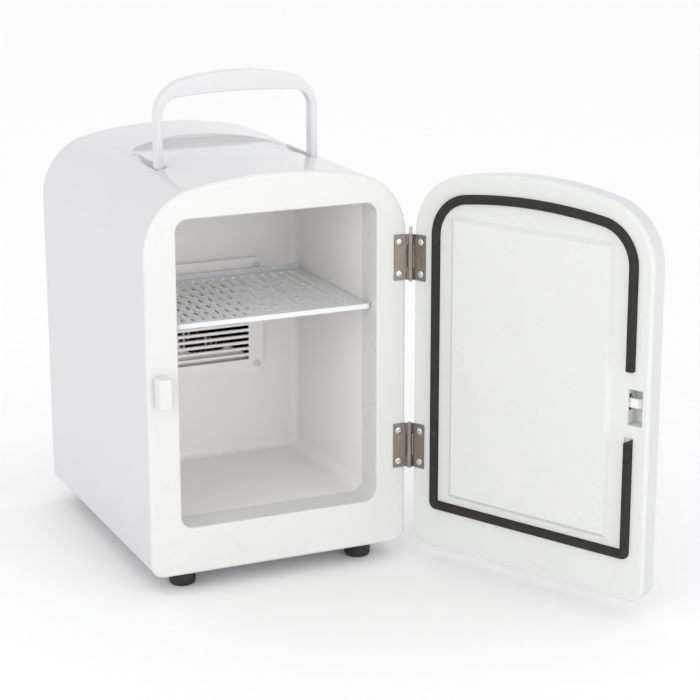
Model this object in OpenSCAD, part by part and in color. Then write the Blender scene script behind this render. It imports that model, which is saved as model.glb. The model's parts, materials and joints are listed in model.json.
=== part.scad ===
// Six-can thermoelectric mini fridge with a side-hinged door and a folding carry handle.
// Design frame: x = 0 on the body's middle, y = 0 on the fascia's front face, z = 0 on the floor.
// The door is drawn shut in that frame and then swung about its hinge axis.

/* [Body] */
// Width of the body and of the door
body_w = 185.4; // [184:0.2:190]
// Depth of the body, from the fascia to the back cover
body_d = 223.4; // [222:0.2:240]
// Height of the body above its feet
body_h = 267.4; // [266:0.2:285]
// Radius of the arched top
crown_r = 281; // [270:1:320]
// Radius of the two top corners
corner_r = 42.7; // [40:0.1:46]
// Radius of the two bottom corners
base_r = 9.3; // [7:0.1:12]
// Wall thickness of the housing
shell_t = 2.5; // [2.2:0.1:2.8]

/* [Door] */
// How far the door stands open, in degrees
door_open = 116; // [100:1:130]
// Thickness of the door
door_t = 18; // [17.5:0.5:22]
// Thickness of the inner panel's edge, seen beside the outer shell
panel_edge = 4.5; // [4.5:0.1:5.5]

/* [Cavity] */
// Width of the cavity
cavity_w = 142; // [138:1:142]
// Height of the cavity
cavity_h = 208.9; // [204:0.1:210]
// Radius of the cavity's corners
cavity_r = 8.5; // [6:0.5:10]
// Height of the shelf above the cavity floor
shelf_rise = 135; // [130:1:140]
// Number of slits in the shelf
shelf_slits = 17; // [11:2:19]

/* [Handle] */
// Width of the handle across its legs
handle_w = 116.2; // [114:0.2:117]
// Height of the handle's top above the pivot
handle_h = 68.3; // [64:0.1:70]
// Thickness of the handle, front to back
handle_t = 9; // [8:0.1:9.2]

/* [Feet] */
// Height of the rubber feet
foot_h = 12.5; // [11:0.5:16]
// Diameter of the rubber feet
foot_d = 18.6; // [18:0.1:22]

/* [Hidden] */
eps = 0.01;
through = 60;

// Heights
floor_z = foot_h;
crown_z = foot_h + body_h;
half_w = body_w / 2;

// Door gap and hinge axis, at the mouth's right edge
door_gap = 4.2;
hinge_x = half_w + 2.1;
hinge_y = -door_gap / 2;
door_front = -door_gap - door_t;

// Middle of the whole model's box with the door standing open, so that the origin is under it
door_reach = hinge_x + half_w;
open_x = hinge_x - door_reach * cos(door_open) + (door_gap / 2 + door_t) * sin(door_open);
open_y = hinge_y - door_reach * sin(door_open) - door_gap / 2 * cos(door_open);
mid_x = (open_x - half_w) / 2;
mid_y = (body_d + open_y) / 2;

// Fascia and its collar
fascia_t = 3;
collar_t = 1.8;
collar_d = 24;
skirt_t = 1.5;
skirt_d = 12;
mouth_low = foot_h + 32.6;
mouth_mid = mouth_low + cavity_h / 2;

// Catch on the fascia, and the spigot that holds it
catch_x = [-88.3, -79.6];
catch_z = [132.3, 152.8];
catch_reach = 11.2;
notch_x = -87.1;
notch_y = [-9, -5.7];
spigot_in = [1.3, 2];
bolt_z = [142.2, 148.4];
bolt_gap = 0.35;

// Liner, cooling pocket and inner grille
liner_t = 2;
liner_back = 140;
cool_z = 150;
pocket_w = 64;
pocket_back = 168;
duct_r = 28;
ledge_w = 4;
ledge_t = 2.5;
grille_w = 84;
grille_t = 6.5;
grille_hole_w = grille_w - 10;
grille_slot = [31, 1.3];
grille_pitch = 4.6;
grille_screw_r = 1.3;

// Thermoelectric stack, front to back
fan_in_w = 60;
fan_in_t = 10;
fan_in_y = liner_back + liner_t;
cold_fin_y = fan_in_y + fan_in_t;
cold_base_y = pocket_back - 4;
spacer_w = 40;
stack_screw_w = 50;
stack_screw_r = 1.5;
peltier_y = pocket_back + 10;
hot_base_y = peltier_y + 4;
hot_fin_y = hot_base_y + 4;
hot_back = 202;
hot_w = 90;
hot_h = 100;
foam_back = hot_base_y - 6;
fan_out_w = 92;
fan_out_t = 15;
fan_hole_w = fan_out_w - 9.5;
fan_screw_r = 1.6;
fin_t = 1.2;

// Back cover
cover_y = body_d - 4.4;
cover_t = 2.4;
vent_r = 43;
vent_pitch = 5.2;
vent_half = 1.5;
louvre_pitch = 6;
louvre_h = 3;
bay_z = [60, 98];
bay_x = 72;
bay_depth = 5;
bay_wall = 2;
socket_z = 79;
inlet_x = -46;
dc_x = -4;
lamp_x = [16, 24];
switch_x = 44;
cover_boss_r = 3.6;
cover_screw_r = 1.3;
cover_screw_at = [
    [half_w - 6.5, foot_h + 14], [half_w - 6.5, foot_h + 120], [half_w - 19.5, crown_z - 20.5]];

// Electronics
board_z = foot_h + 9.5;
board_y = [180, 214];
board_x = 54;
board_t = 1.6;
board_screw_r = 1.1;
board_hole_at = [
    [board_x - 5, board_y[0] + 5], [5 - board_x, board_y[0] + 5],
    [board_x - 5, board_y[1] - 5], [5 - board_x, board_y[1] - 5]];
capacitor_at = [[2, 198], [22, 190], [22, 204], [40, 197]];
capacitor_size = [[8, 24], [5, 16], [5, 16], [6.3, 20]];

// Carry handle, its pivot, its wells and the shallow recess that it folds into
handle_arc = 170;
handle_corner = 25;
grip_t = 14;
grip_arc = 500;
grip_corner = 12;
pivot_y = 74;
pivot_z = crown_z - 10.9;
leg_w = 4.7;
pin_r = 2;
pin_x = [46, 63];
fold_rise = 11;
well_floor = pivot_z - handle_t / 2 - 1;
well_x = [handle_w / 2 - leg_w - 2.4, handle_w / 2 + 0.9];
well_front = pivot_y - handle_t / 2 - 1;
well_back = 130.5;
recess_floor = crown_z - 5.6;
tray_t = 1.8;
recess_w = handle_w - 10.2;
recess_front = 68;
recess_back = 160;
recess_arc = 95;
recess_corner = 18;
island_half = 50;
island_r = 58;
island_back = 108;

// Hinges
leaf_t = 0.9;
leaf_h = 31.4;
leaf_x = 83.4;
knuckle_r = 2.1;
hinge_pin_r = 1.1;
hinge_fit = 0.04;
upper_hinge_z = 199.3;
lower_hinge_z = 66.9;
hinge_screw_x = 87.2;
hinge_screw_up = [4.6, 26.6];
hinge_screw_r = 1.2;
hinge_boss_r = 2.8;
upper_pin_over = [1.3, 5.2];
lower_pin_over = [1, 1];

// Shelf
shelf_z = mouth_low + shelf_rise;
shelf_t = 1.8;
shelf_y = [7, 132];
shelf_fit = 1.6;
slit_margin = [7, 11, 9];
slit_bar = 4;

// Feet
foot_at = [[-65, 19.4], [65, 19.4], [-65, 203], [65, 203]];
foot_screw_r = 1.5;
foot_well = [4, 6];
foot_boss_r = 4;

// Door inner panel, gasket and latch
panel_t = 2.2;
door_skin = 2.2;
field_x = [-65.2, 62];
field_z = [51.6, 246.8];
field_rise = 2.2;
field_run = 2.8;
gasket_mid = -2.6;
gasket_w = 160.4;
gasket_z = [40.4, 266.3];
gasket_arc = 380;
gasket_corner = 30;
gasket_low_r = 5.4;
gasket_band = 6.2;
gasket_y = [-door_gap - 1, -0.7];
gasket_gap_z = [118, 166.4];
groove_gap_z = [122.4, 166.4];
groove_fit = 0.1;
slot_x = [-89.1, -78.5];
slot_z = [130.9, 154.7];
slot_depth = 10.2;
slot_wall = 1.3;
bolt_y = [-8.6, -6];
bolt_tip = -86.8;
bolt_head = 4.5;
bolt_nose = 0.7;
latch_travel = 7.6;
tail_x = [-75.5, -60];
tail_y = -12.2;
stem_x = [-72, -64];
rail_y = -12.4;
mech_end = -44;
retainer_t = 1.4;
retainer_screw_x = -56;
retainer_screw_z = [134.6, 155.2];
retainer_screw_r = 1;

// ---- Shared shapes ----

// An arched outline: straight sides, small bottom corners, larger top corners, and one
// wide arc across the top that runs smoothly into the top corners.
module arch_outline(w, low, crown, arc_r, top_r, low_r) {
    corner_x = w / 2 - top_r;
    arc_y = crown - arc_r;
    corner_y = arc_y + sqrt(pow(arc_r - top_r, 2) - pow(corner_x, 2));
    out = arc_r / (arc_r - top_r);
    tan_x = corner_x * out;
    tan_y = arc_y + (corner_y - arc_y) * out;
    polygon([
        [low_r - w / 2, low], [w / 2 - low_r, low], [w / 2, low + low_r], [w / 2, corner_y],
        [tan_x, tan_y], [-tan_x, tan_y], [-w / 2, corner_y], [-w / 2, low + low_r]]);
    for (s = [-1, 1]) {
        translate([s * (w / 2 - low_r), low + low_r]) circle(r = low_r, $fn = 48);
        translate([s * corner_x, corner_y]) circle(r = top_r, $fn = 96);
    }
    intersection() {
        translate([0, arc_y]) circle(r = arc_r, $fn = 360);
        translate([-tan_x, tan_y]) square([2 * tan_x, arc_r]);
    }
}

// The body's own outline, drawn inward by an inset
module body_outline(inset)
    arch_outline(body_w - 2 * inset, floor_z + inset, crown_z - inset, crown_r - inset,
        corner_r - inset, max(base_r - inset, 1));

// A rectangle with round corners, about its own middle
module round_rect(w, h, r) {
    square([w - 2 * r, h], center = true);
    square([w, h - 2 * r], center = true);
    for (sx = [-1, 1], sy = [-1, 1])
        translate([sx * (w / 2 - r), sy * (h / 2 - r)]) circle(r = r, $fn = 48);
}

// Stands an outline drawn in x and z upright, and extrudes it from y0 to y1
module upright(y0, y1)
    translate([0, y1, 0]) rotate([90, 0, 0]) linear_extrude(height = y1 - y0) children();

// A box between two corners
module block(low, high) translate(low) cube(high - low);

// A round bar along y, from y0 to y1
module bar_y(x, z, r, y0, y1)
    translate([x, y0, z]) rotate([-90, 0, 0]) cylinder(r = r, h = y1 - y0, $fn = 40);

// A round bar along x, from x0 to x1
module bar_x(y, z, r, x0, x1)
    translate([x0, y, z]) rotate([0, 90, 0]) cylinder(r = r, h = x1 - x0, $fn = 40);

// The four corners of a square about the cooling axis
module at_corners(spacing)
    for (sx = [-1, 1], sz = [-1, 1])
        translate([sx * spacing / 2, 0, cool_z + sz * spacing / 2]) children();

// A pan-head screw along y: its head's seat is at y = 0 and the shank runs to +y
module screw_y(r, head_r, head_h, shank) {
    difference() {
        rotate([90, 0, 0]) cylinder(r = head_r, h = head_h, $fn = 40);
        for (turn = [45, 135])
            rotate([0, turn, 0]) cube([head_r * 1.2, head_h * 1.2, head_r * 0.28], center = true);
    }
    rotate([-90, 0, 0]) cylinder(r = r, h = shank, $fn = 40);
}

// Puts a child in the finished frame, or in the door as it stands open
module placed() translate([-mid_x, -mid_y, 0]) children();
module on_door()
    placed() translate([hinge_x, hinge_y, 0]) rotate([0, 0, door_open])
        translate([-hinge_x, -hinge_y, 0]) children();

// ---- Body ----

// Plan outlines of the handle recess and of the island in its middle
module recess_plan(grow)
    arch_outline(recess_w + 2 * grow, recess_front - grow, recess_back + grow, recess_arc + grow,
        recess_corner + grow, 3 + grow);
module island_plan(grow) intersection() {
    translate([-island_half - grow, 40]) square([2 * (island_half + grow), 80]);
    translate([0, island_back - island_r]) circle(r = island_r + grow, $fn = 120);
}
module recess_ring(grow, z0)
    translate([0, 0, z0]) linear_extrude(height = through) difference() {
        recess_plan(grow);
        island_plan(-grow);
    }

// A bar through each of the handle's two pivots
module pivot_bars(r) for (s = [-1, 1]) mirror([s > 0 ? 0 : 1, 0, 0])
    bar_x(pivot_y, pivot_z, r, pin_x[0], pin_x[1]);

// The two wells that the handle's legs turn in: deep round the pivot, then rising to the
// recess floor at the angle where the folded handle stops
module leg_wells(grow) {
    deep = handle_t / 2 + 1 + grow;
    ramp_y = pivot_y + deep * tan(fold_rise / 2);
    ramp_top = pivot_z - deep + (well_back - ramp_y) * tan(fold_rise);
    for (s = [-1, 1]) mirror([s > 0 ? 0 : 1, 0, 0])
        translate([well_x[0] - grow, 0, 0]) rotate([90, 0, 90])
            linear_extrude(height = well_x[1] - well_x[0] + 2 * grow)
                polygon([
                    [well_front - grow, crown_z + 5], [well_front - grow, pivot_z - deep],
                    [ramp_y, pivot_z - deep], [well_back, ramp_top], [well_back, crown_z + 5]]);
}

module housing_shell() color([0.9, 0.9, 0.92]) placed() difference() {
    upright(fascia_t, cover_y) body_outline(0);
    difference() {
        upright(fascia_t - 1, cover_y + 1) body_outline(shell_t);
        recess_ring(tray_t, recess_floor - tray_t);
        leg_wells(tray_t);
        for (at = foot_at)
            translate([at[0], at[1], floor_z]) cylinder(r = foot_boss_r, h = 12, $fn = 40);
        for (at = cover_screw_at, s = [-1, 1]) {
            bar_y(s * at[0], at[1], cover_boss_r, cover_y - 24, cover_y);
            block([s * at[0] + min(0, s * 6), cover_y - 24, at[1] - 1.2],
                [s * at[0] + max(0, s * 6), cover_y, at[1] + 1.2]);
        }
        for (at = board_hole_at)
            translate([at[0], at[1], floor_z]) cylinder(r = 3, h = board_z - floor_z, $fn = 40);
    }
    recess_ring(0, recess_floor);
    leg_wells(0);
    for (at = foot_at)
        translate([at[0], at[1], floor_z - 1]) cylinder(r = foot_screw_r, h = 12, $fn = 40);
    for (at = cover_screw_at, s = [-1, 1])
        bar_y(s * at[0], at[1], cover_screw_r, cover_y - 20, cover_y + 1);
    for (at = board_hole_at)
        translate([at[0], at[1], floor_z + 4]) cylinder(r = board_screw_r, h = board_z, $fn = 40);
    pivot_bars(pin_r);
}

// The catch's spigot, which passes through the fascia
module catch_spigot(y0, y1)
    block([catch_x[0] + spigot_in[0], y0, catch_z[0] + spigot_in[1]],
        [catch_x[1] - spigot_in[0], y1, catch_z[1] - spigot_in[1]]);

module front_frame() color([0.95, 0.95, 0.94]) placed() difference() {
    union() {
        upright(0, fascia_t) body_outline(0);
        upright(fascia_t, collar_d) translate([0, mouth_mid])
            round_rect(cavity_w + 2 * collar_t, cavity_h + 2 * collar_t, cavity_r + collar_t);
        upright(fascia_t, skirt_d) difference() {
            body_outline(shell_t);
            body_outline(shell_t + skirt_t);
        }
        for (low = [lower_hinge_z, upper_hinge_z], up = hinge_screw_up)
            bar_y(hinge_screw_x, low + up, hinge_boss_r, fascia_t, skirt_d - 1);
    }
    upright(-1, collar_d + 1) translate([0, mouth_mid]) round_rect(cavity_w, cavity_h, cavity_r);
    for (low = [lower_hinge_z, upper_hinge_z], up = hinge_screw_up)
        bar_y(hinge_screw_x, low + up, hinge_screw_r, -1, 9);
    catch_spigot(-1, fascia_t + 1);
}

module door_catch() color([0.95, 0.95, 0.95]) placed() difference() {
    union() {
        block([catch_x[0], -catch_reach, catch_z[0]], [catch_x[1], 0, catch_z[1]]);
        catch_spigot(-eps, fascia_t + eps);
        block([catch_x[0] + 0.2, fascia_t, catch_z[0]], [catch_x[1], fascia_t + 1.5, catch_z[1]]);
    }
    block([notch_x, notch_y[0], bolt_z[0] - bolt_gap],
        [catch_x[1] + 1, notch_y[1], bolt_z[1] + bolt_gap]);
}

module liner() color([0.93, 0.93, 0.91]) placed() difference() {
    union() {
        difference() {
            upright(collar_d, liner_back + liner_t) translate([0, mouth_mid])
                round_rect(cavity_w + 2 * liner_t, cavity_h + 2 * liner_t, cavity_r + liner_t);
            upright(collar_d - 1, liner_back) translate([0, mouth_mid])
                round_rect(cavity_w, cavity_h, cavity_r);
        }
        for (s = [-1, 1])
            block([s > 0 ? cavity_w / 2 - ledge_w : -cavity_w / 2 - eps, collar_d + 6,
                shelf_z - 0.1 - ledge_t],
                [s > 0 ? cavity_w / 2 + eps : ledge_w - cavity_w / 2, 130, shelf_z - 0.1]);
        upright(liner_back + liner_t, pocket_back + liner_t) translate([0, cool_z])
            square(pocket_w + 2 * liner_t, center = true);
    }
    upright(liner_back + liner_t, pocket_back) translate([0, cool_z])
        square(pocket_w, center = true);
    bar_y(0, cool_z, duct_r, liner_back - 1, liner_back + liner_t + 1);
    upright(pocket_back - 1, pocket_back + liner_t + 1) translate([0, cool_z])
        square(spacer_w, center = true);
    at_corners(stack_screw_w) bar_y(0, 0, stack_screw_r, pocket_back - 1, pocket_back + liner_t + 1);
    at_corners(grille_hole_w) bar_y(0, 0, grille_screw_r, liner_back - 1, liner_back + liner_t + 1);
}

module insulation_foam() color([0.98, 0.95, 0.82]) placed() difference() {
    upright(skirt_d, foam_back) body_outline(shell_t);
    upright(skirt_d - 1, collar_d) translate([0, mouth_mid])
        round_rect(cavity_w + 2 * collar_t, cavity_h + 2 * collar_t, cavity_r + collar_t);
    upright(collar_d, liner_back + liner_t) translate([0, mouth_mid])
        round_rect(cavity_w + 2 * liner_t, cavity_h + 2 * liner_t, cavity_r + liner_t);
    upright(liner_back, pocket_back + liner_t) translate([0, cool_z])
        square(pocket_w + 2 * liner_t, center = true);
    upright(pocket_back, foam_back + 1) translate([0, cool_z]) square(spacer_w, center = true);
    at_corners(stack_screw_w) bar_y(0, 0, stack_screw_r, pocket_back, foam_back + 1);
    at_corners(grille_hole_w) bar_y(0, 0, grille_screw_r + 0.2, liner_back, liner_back + 9);
    block([-well_x[1] - 7, recess_front - 4, well_floor - tray_t],
        [well_x[1] + 7, recess_back + 4, crown_z]);
    for (at = foot_at)
        translate([at[0], at[1], floor_z]) cylinder(r = foot_boss_r, h = 12, $fn = 40);
}

// ---- Cooling ----

module inner_grille() color([0.9, 0.9, 0.9]) placed() difference() {
    upright(liner_back - grille_t, liner_back) translate([0, cool_z])
        round_rect(grille_w, grille_w, 6);
    upright(liner_back - grille_t + 2, liner_back + 1) translate([0, cool_z])
        difference() {
            square(grille_w - 4, center = true);
            for (sx = [-1, 1], sz = [-1, 1])
                translate([sx * (grille_w / 2 - 5), sz * (grille_w / 2 - 5)]) circle(r = 3.4, $fn = 40);
        }
    for (row = [-7:7])
        block([-grille_slot[0], liner_back - grille_t - 1, cool_z + row * grille_pitch - grille_slot[1]],
            [grille_slot[0], liner_back, cool_z + row * grille_pitch + grille_slot[1]]);
    at_corners(grille_hole_w) bar_y(0, 0, grille_screw_r, liner_back - grille_t - 1, liner_back + 1);
}

module grille_screws() color("silver") placed()
    at_corners(grille_hole_w) translate([0, liner_back - grille_t, 0])
        screw_y(grille_screw_r, 2.6, 1.1, 14);

// A square axial fan frame, from y0 to y1, with its motor mount and arms
module fan_frame(w, y0, y1, hub_r, hole_r, spacing) {
    difference() {
        upright(y0, y1) translate([0, cool_z]) round_rect(w, w, 4);
        bar_y(0, cool_z, w / 2 - 2, y0 - 1, y1 + 1);
        at_corners(spacing) bar_y(0, 0, hole_r, y0 - 1, y1 + 1);
    }
    bar_y(0, cool_z, hub_r, y1 - 2.4, y1 - 0.2);
    for (turn = [20, 110])
        translate([0, y1 - 1.2, cool_z]) rotate([0, turn, 0]) cube([w - 3, 1.6, 3], center = true);
}

// A fan rotor: a closed hub and pitched blades
module fan_rotor(hub_r, tip_r, y0, y1, blades) {
    bar_y(0, cool_z, hub_r, y0, y1);
    for (i = [0:blades - 1])
        translate([0, (y0 + y1) / 2, cool_z]) rotate([0, i * 360 / blades, 0])
            translate([hub_r - 1, 0, 0]) rotate([38, 0, 0])
                translate([0, -0.6, -(y1 - y0) * 0.52])
                    cube([tip_r - hub_r + 1, 1.2, (y1 - y0) * 1.04]);
}

module inner_fan_frame() color([0.13, 0.13, 0.14]) placed()
    fan_frame(fan_in_w, fan_in_y, cold_fin_y, 14, 2, stack_screw_w);
module inner_fan_rotor() color([0.1, 0.1, 0.11]) placed()
    fan_rotor(13, fan_in_w / 2 - 3, fan_in_y + 0.6, cold_fin_y - 2.6, 7);

// Fins of a heat sink, upright, spread over a width
module fins(w, h, y0, y1, pitch)
    for (x = [-w / 2:pitch:w / 2 - fin_t])
        block([x, y0, cool_z - h / 2], [x + fin_t, y1, cool_z + h / 2]);

module cold_sink() color([0.75, 0.76, 0.78]) placed() difference() {
    union() {
        block([-30, cold_base_y, cool_z - 30], [30, pocket_back, cool_z + 30]);
        fins(60, 60, cold_fin_y, cold_base_y + 1, 4.2);
    }
    at_corners(stack_screw_w) bar_y(0, 0, stack_screw_r, cold_base_y - 1, pocket_back + 1);
    at_corners(stack_screw_w) bar_y(0, 0, 3, cold_fin_y - 1, cold_base_y);
}

module spacer_block() color([0.78, 0.79, 0.8]) placed()
    block([-spacer_w / 2, pocket_back, cool_z - spacer_w / 2],
        [spacer_w / 2, peltier_y, cool_z + spacer_w / 2]);

module peltier_module() color([0.93, 0.93, 0.9]) placed() difference() {
    block([-20, peltier_y, cool_z - 20], [20, hot_base_y, cool_z + 20]);
    for (side = [0:3]) translate([0, 0, cool_z]) rotate([0, side * 90, 0])
        block([-21, peltier_y + 1, 18.6], [21, hot_base_y - 1, 21]);
}

module hot_sink() color([0.72, 0.73, 0.75]) placed() difference() {
    union() {
        block([-hot_w / 2, hot_base_y, cool_z - hot_h / 2], [hot_w / 2, hot_fin_y, cool_z + hot_h / 2]);
        fins(hot_w, hot_h, hot_fin_y - 1, hot_back, 4.04);
    }
    at_corners(stack_screw_w) bar_y(0, 0, stack_screw_r, hot_base_y - 1, hot_fin_y + 1);
    at_corners(stack_screw_w) bar_y(0, 0, 3.4, hot_fin_y, hot_back + 1);
    at_corners(fan_hole_w) bar_y(0, 0, fan_screw_r, hot_base_y - 1, hot_back + 1);
}

// Screws that clamp the stack: heads on the hot sink's base, tips in the cold sink
module heatsink_screws() color("silver") placed()
    at_corners(stack_screw_w) translate([0, hot_fin_y, 0]) mirror([0, 1, 0])
        screw_y(stack_screw_r, 2.8, 1.6, hot_fin_y - cold_base_y);

module rear_fan_frame() color([0.12, 0.12, 0.13]) placed()
    fan_frame(fan_out_w, hot_back, hot_back + fan_out_t, 20, 2.2, fan_hole_w);
module rear_fan_rotor() color([0.09, 0.09, 0.1]) placed()
    fan_rotor(19, fan_out_w / 2 - 3.5, hot_back + 0.8, hot_back + fan_out_t - 2.8, 7);
module rear_fan_screws() color("silver") placed()
    at_corners(fan_hole_w) translate([0, hot_back + fan_out_t, 0]) mirror([0, 1, 0])
        screw_y(fan_screw_r, 3, 1.2, fan_out_t + 14);

// ---- Back ----

// Rows of louvre slots on both sides of the middle, counted up from z0
module louvres(rows, z0, x) for (row = [0:rows - 1], s = [-1, 1])
    mirror([s > 0 ? 0 : 1, 0, 0])
        block([x[0], cover_y - 1, z0 + row * louvre_pitch],
            [x[1], body_d + 1, z0 + row * louvre_pitch + louvre_h]);

module back_cover() color([0.9, 0.9, 0.92]) placed() difference() {
    union() {
        difference() {
            upright(cover_y, body_d) body_outline(0);
            upright(cover_y - 1, body_d - cover_t) body_outline(shell_t);
            block([-bay_x, body_d - bay_depth, bay_z[0]], [bay_x, body_d + 1, bay_z[1]]);
        }
        difference() {
            block([-bay_x - bay_wall, body_d - bay_depth - bay_wall, bay_z[0] - bay_wall],
                [bay_x + bay_wall, body_d - cover_t + eps, bay_z[1] + bay_wall]);
            block([-bay_x, body_d - bay_depth, bay_z[0]], [bay_x, body_d + 1, bay_z[1]]);
        }
        for (at = cover_screw_at, s = [-1, 1])
            bar_y(s * at[0], at[1], cover_boss_r, cover_y, body_d - cover_t + eps);
    }
    intersection() {
        bar_y(0, cool_z, vent_r, cover_y - 1, body_d + 1);
        for (row = [-8:8])
            block([-vent_r, cover_y - 1, cool_z + row * vent_pitch - vent_half],
                [vent_r, body_d + 1, cool_z + row * vent_pitch + vent_half]);
    }
    louvres(5, crown_z - 58, [10, 50]);
    louvres(4, floor_z + 14, [10, 60]);
    for (at = cover_screw_at, s = [-1, 1]) {
        bar_y(s * at[0], at[1], cover_screw_r + 0.3, cover_y - 1, body_d + 1);
        bar_y(s * at[0], at[1], 3, body_d - 1.6, body_d + 1);
    }
    translate([inlet_x, 0, socket_z]) upright(body_d - 9, body_d) round_rect(25, 17, 3);
    translate([dc_x, 0, socket_z]) upright(body_d - 9, body_d) circle(r = 6, $fn = 48);
    translate([switch_x, 0, socket_z]) upright(body_d - 9, body_d) square([19, 13], center = true);
    for (x = lamp_x) bar_y(x, socket_z, 1.5, body_d - 9, body_d);
}

module back_cover_screws() color("silver") placed()
    for (at = cover_screw_at, s = [-1, 1])
        translate([s * at[0], body_d - 1.6, at[1]]) mirror([0, 1, 0])
            screw_y(cover_screw_r, 2.8, 1.2, 16);

module ac_inlet() color([0.1, 0.1, 0.1]) placed() {
    face = body_d - bay_depth;
    difference() {
        union() {
            translate([inlet_x, 0, socket_z]) upright(face, face + 1.5) round_rect(29, 21, 3.4);
            translate([inlet_x, 0, socket_z]) upright(face - 18, face) round_rect(24.6, 16.6, 2.8);
        }
        translate([inlet_x, 0, socket_z]) upright(face - 13, face + 2) {
            square([8.6, 9], center = true);
            for (s = [-1, 1]) translate([s * 4.3, 0]) circle(r = 4.5, $fn = 48);
        }
    }
    for (s = [-1, 1]) bar_y(inlet_x + s * 4.9, socket_z, 1.2, face - 13 - eps, face - 3);
}

module dc_socket() color([0.1, 0.1, 0.1]) placed() {
    face = body_d - bay_depth;
    difference() {
        union() {
            bar_y(dc_x, socket_z, 8, face, face + 1.5);
            bar_y(dc_x, socket_z, 5.8, face - 16, face);
        }
        bar_y(dc_x, socket_z, 3.9, face - 12, face + 2);
    }
    bar_y(dc_x, socket_z, 1, face - 12 - eps, face - 2);
}

module mode_switch_body() color([0.1, 0.1, 0.1]) placed() {
    face = body_d - bay_depth;
    difference() {
        union() {
            translate([switch_x, 0, socket_z]) upright(face, face + 1.2) square([21, 15], center = true);
            translate([switch_x, 0, socket_z]) upright(face - 16, face) square([18.8, 12.8], center = true);
        }
        translate([switch_x, 0, socket_z]) upright(face - 9, face + 2) square([17, 11], center = true);
    }
}

// The rocker tilts about an axis along z, in the middle of its well
module mode_switch_rocker() color([0.75, 0.1, 0.1]) placed() {
    face = body_d - bay_depth;
    pivot = face - 2.4;
    difference() {
        translate([switch_x, pivot, socket_z - 5.1]) cylinder(r = 8, h = 10.2, $fn = 64);
        block([switch_x - 14, face - 14, socket_z - 9], [switch_x + 14, pivot - 3.2, socket_z + 9]);
        for (s = [-1, 1])
            translate([switch_x, face + 1.6, socket_z - 9]) rotate([0, 0, s * 10])
                block([s > 0 ? 0 : -14, 0, 0], [s > 0 ? 14 : 0, 10, 20]);
    }
}

module status_lamps() color([0.4, 0.8, 0.3]) placed()
    for (x = lamp_x) {
        bar_y(x, socket_z, 1.5, body_d - bay_depth - 6, body_d - bay_depth + 0.8);
        bar_y(x, socket_z, 2, body_d - bay_depth - 7.5, body_d - bay_depth - bay_wall);
    }

// ---- Electronics ----

module power_board() color([0.15, 0.4, 0.25]) placed() difference() {
    block([-board_x, board_y[0], board_z], [board_x, board_y[1], board_z + board_t]);
    for (at = board_hole_at)
        translate([at[0], at[1], board_z - 1]) cylinder(r = board_screw_r, h = 4, $fn = 40);
}

module power_transformer() color([0.85, 0.75, 0.3]) placed() {
    block([-46, 184, board_z + board_t], [-18, 210, board_z + 5]);
    block([-43, 187, board_z + 5], [-21, 207, board_z + 20]);
    block([-46, 184, board_z + 20], [-18, 210, board_z + 23]);
}

module power_capacitors() color([0.15, 0.15, 0.3]) placed()
    for (i = [0:len(capacitor_at) - 1])
        translate([capacitor_at[i][0], capacitor_at[i][1], board_z + board_t])
            cylinder(r = capacitor_size[i][0], h = capacitor_size[i][1], $fn = 48);

module board_screws() color("silver") placed()
    for (at = board_hole_at)
        translate([at[0], at[1], board_z + board_t])
            rotate([-90, 0, 0]) screw_y(board_screw_r, 2.4, 1.2, 6);

// ---- Feet ----

module feet() color([0.12, 0.12, 0.12]) placed()
    for (at = foot_at) translate([at[0], at[1], 0]) difference() {
        cylinder(r = foot_d / 2, h = foot_h, $fn = 64);
        translate([0, 0, -1]) cylinder(r = foot_screw_r, h = foot_h + 2, $fn = 40);
        translate([0, 0, -1]) cylinder(r = foot_well[0], h = foot_well[1] + 1, $fn = 40);
    }

module foot_screws() color("silver") placed()
    for (at = foot_at) translate([at[0], at[1], foot_well[1]]) rotate([90, 0, 0])
        screw_y(foot_screw_r, 3.2, 1.8, foot_h - foot_well[1] + 9);

// ---- Handle ----

module carry_handle() color([0.96, 0.96, 0.96]) placed() difference() {
    top = pivot_z + handle_h;
    union() {
        difference() {
            upright(pivot_y - handle_t / 2, pivot_y + handle_t / 2) difference() {
                arch_outline(handle_w, pivot_z - 12, top, handle_arc, handle_corner, 2);
                arch_outline(handle_w - 2 * leg_w, pivot_z - 14, top - grip_t, grip_arc,
                    grip_corner, 1);
            }
            block([-80, pivot_y - 10, pivot_z - 20], [80, pivot_y + 10, pivot_z]);
        }
        for (s = [-1, 1]) mirror([s > 0 ? 0 : 1, 0, 0])
            bar_x(pivot_y, pivot_z, handle_t / 2, handle_w / 2 - leg_w, handle_w / 2);
    }
    bar_x(pivot_y, pivot_z, pin_r + 0.05, -80, 80);
}

module handle_pins() color("silver") placed()
    pivot_bars(pin_r);

// ---- Shelf ----

module shelf() color([0.93, 0.94, 0.95, 0.7]) placed() difference() {
    w = cavity_w - shelf_fit;
    union() {
        block([-w / 2, shelf_y[0], shelf_z], [w / 2, shelf_y[1], shelf_z + shelf_t]);
        block([-w / 2, shelf_y[0], shelf_z], [w / 2, shelf_y[0] + 2.4, shelf_z + 3.3]);
        block([-w / 2, shelf_y[1] - 1.6, shelf_z], [w / 2, shelf_y[1], shelf_z + 5]);
    }
    pitch = (w - 2 * slit_margin[0]) / shelf_slits;
    left = slit_margin[0] - w / 2;
    for (i = [0:shelf_slits - 1])
        block([left + i * pitch + slit_bar / 2, shelf_y[0] + slit_margin[1], shelf_z - 1],
            [left + (i + 1) * pitch - slit_bar / 2, shelf_y[1] - slit_margin[2], shelf_z + 4]);
}

// ---- Hinges ----

// The knuckle's three stretches, from the leaf's foot up
function knuckle_cuts(low) = [low, low + leaf_h * 0.26, low + leaf_h * 0.76, low + leaf_h];

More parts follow.
